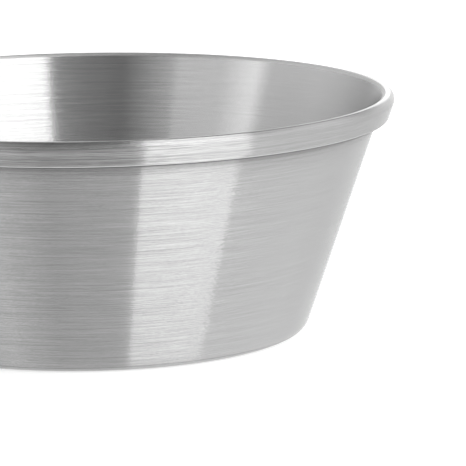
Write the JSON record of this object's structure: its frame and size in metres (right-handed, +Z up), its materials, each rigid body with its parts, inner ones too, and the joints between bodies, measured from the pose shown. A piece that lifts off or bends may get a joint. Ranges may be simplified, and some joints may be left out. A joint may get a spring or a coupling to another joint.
{
  "type": "round cake pan",
  "caption": "Deep round cake pan with a flared side, a flat folded bead round its rim, and a flat base that lifts out for turning a cake out.",
  "frame": {"origin": "centre of the pan on the surface it stands on, at the underside of the ledge", "axes": "+Z up along the pan's axis, through the open top; the pan is round, and -Y faces the picture's camera"},
  "size_m": [0.2, 0.2, 0.0775],
  "materials": {
    "side_sheet": "satin, brushed round the pan",
    "hoop_strip": "plain rolled strip",
    "base_disc": "satin, brushed in rings"
  },
  "bodies": {
    "side": {"flared_side": "side_sheet", "rim_hoop": "hoop_strip"},
    "base": {"loose_base": "base_disc"}
  },
  "joints": [
    {"name": "base_lift", "type": "slide", "parent": "side", "child": "base", "axis": [0, 0, 1], "range_m": [0, 0.085]}
  ]
}
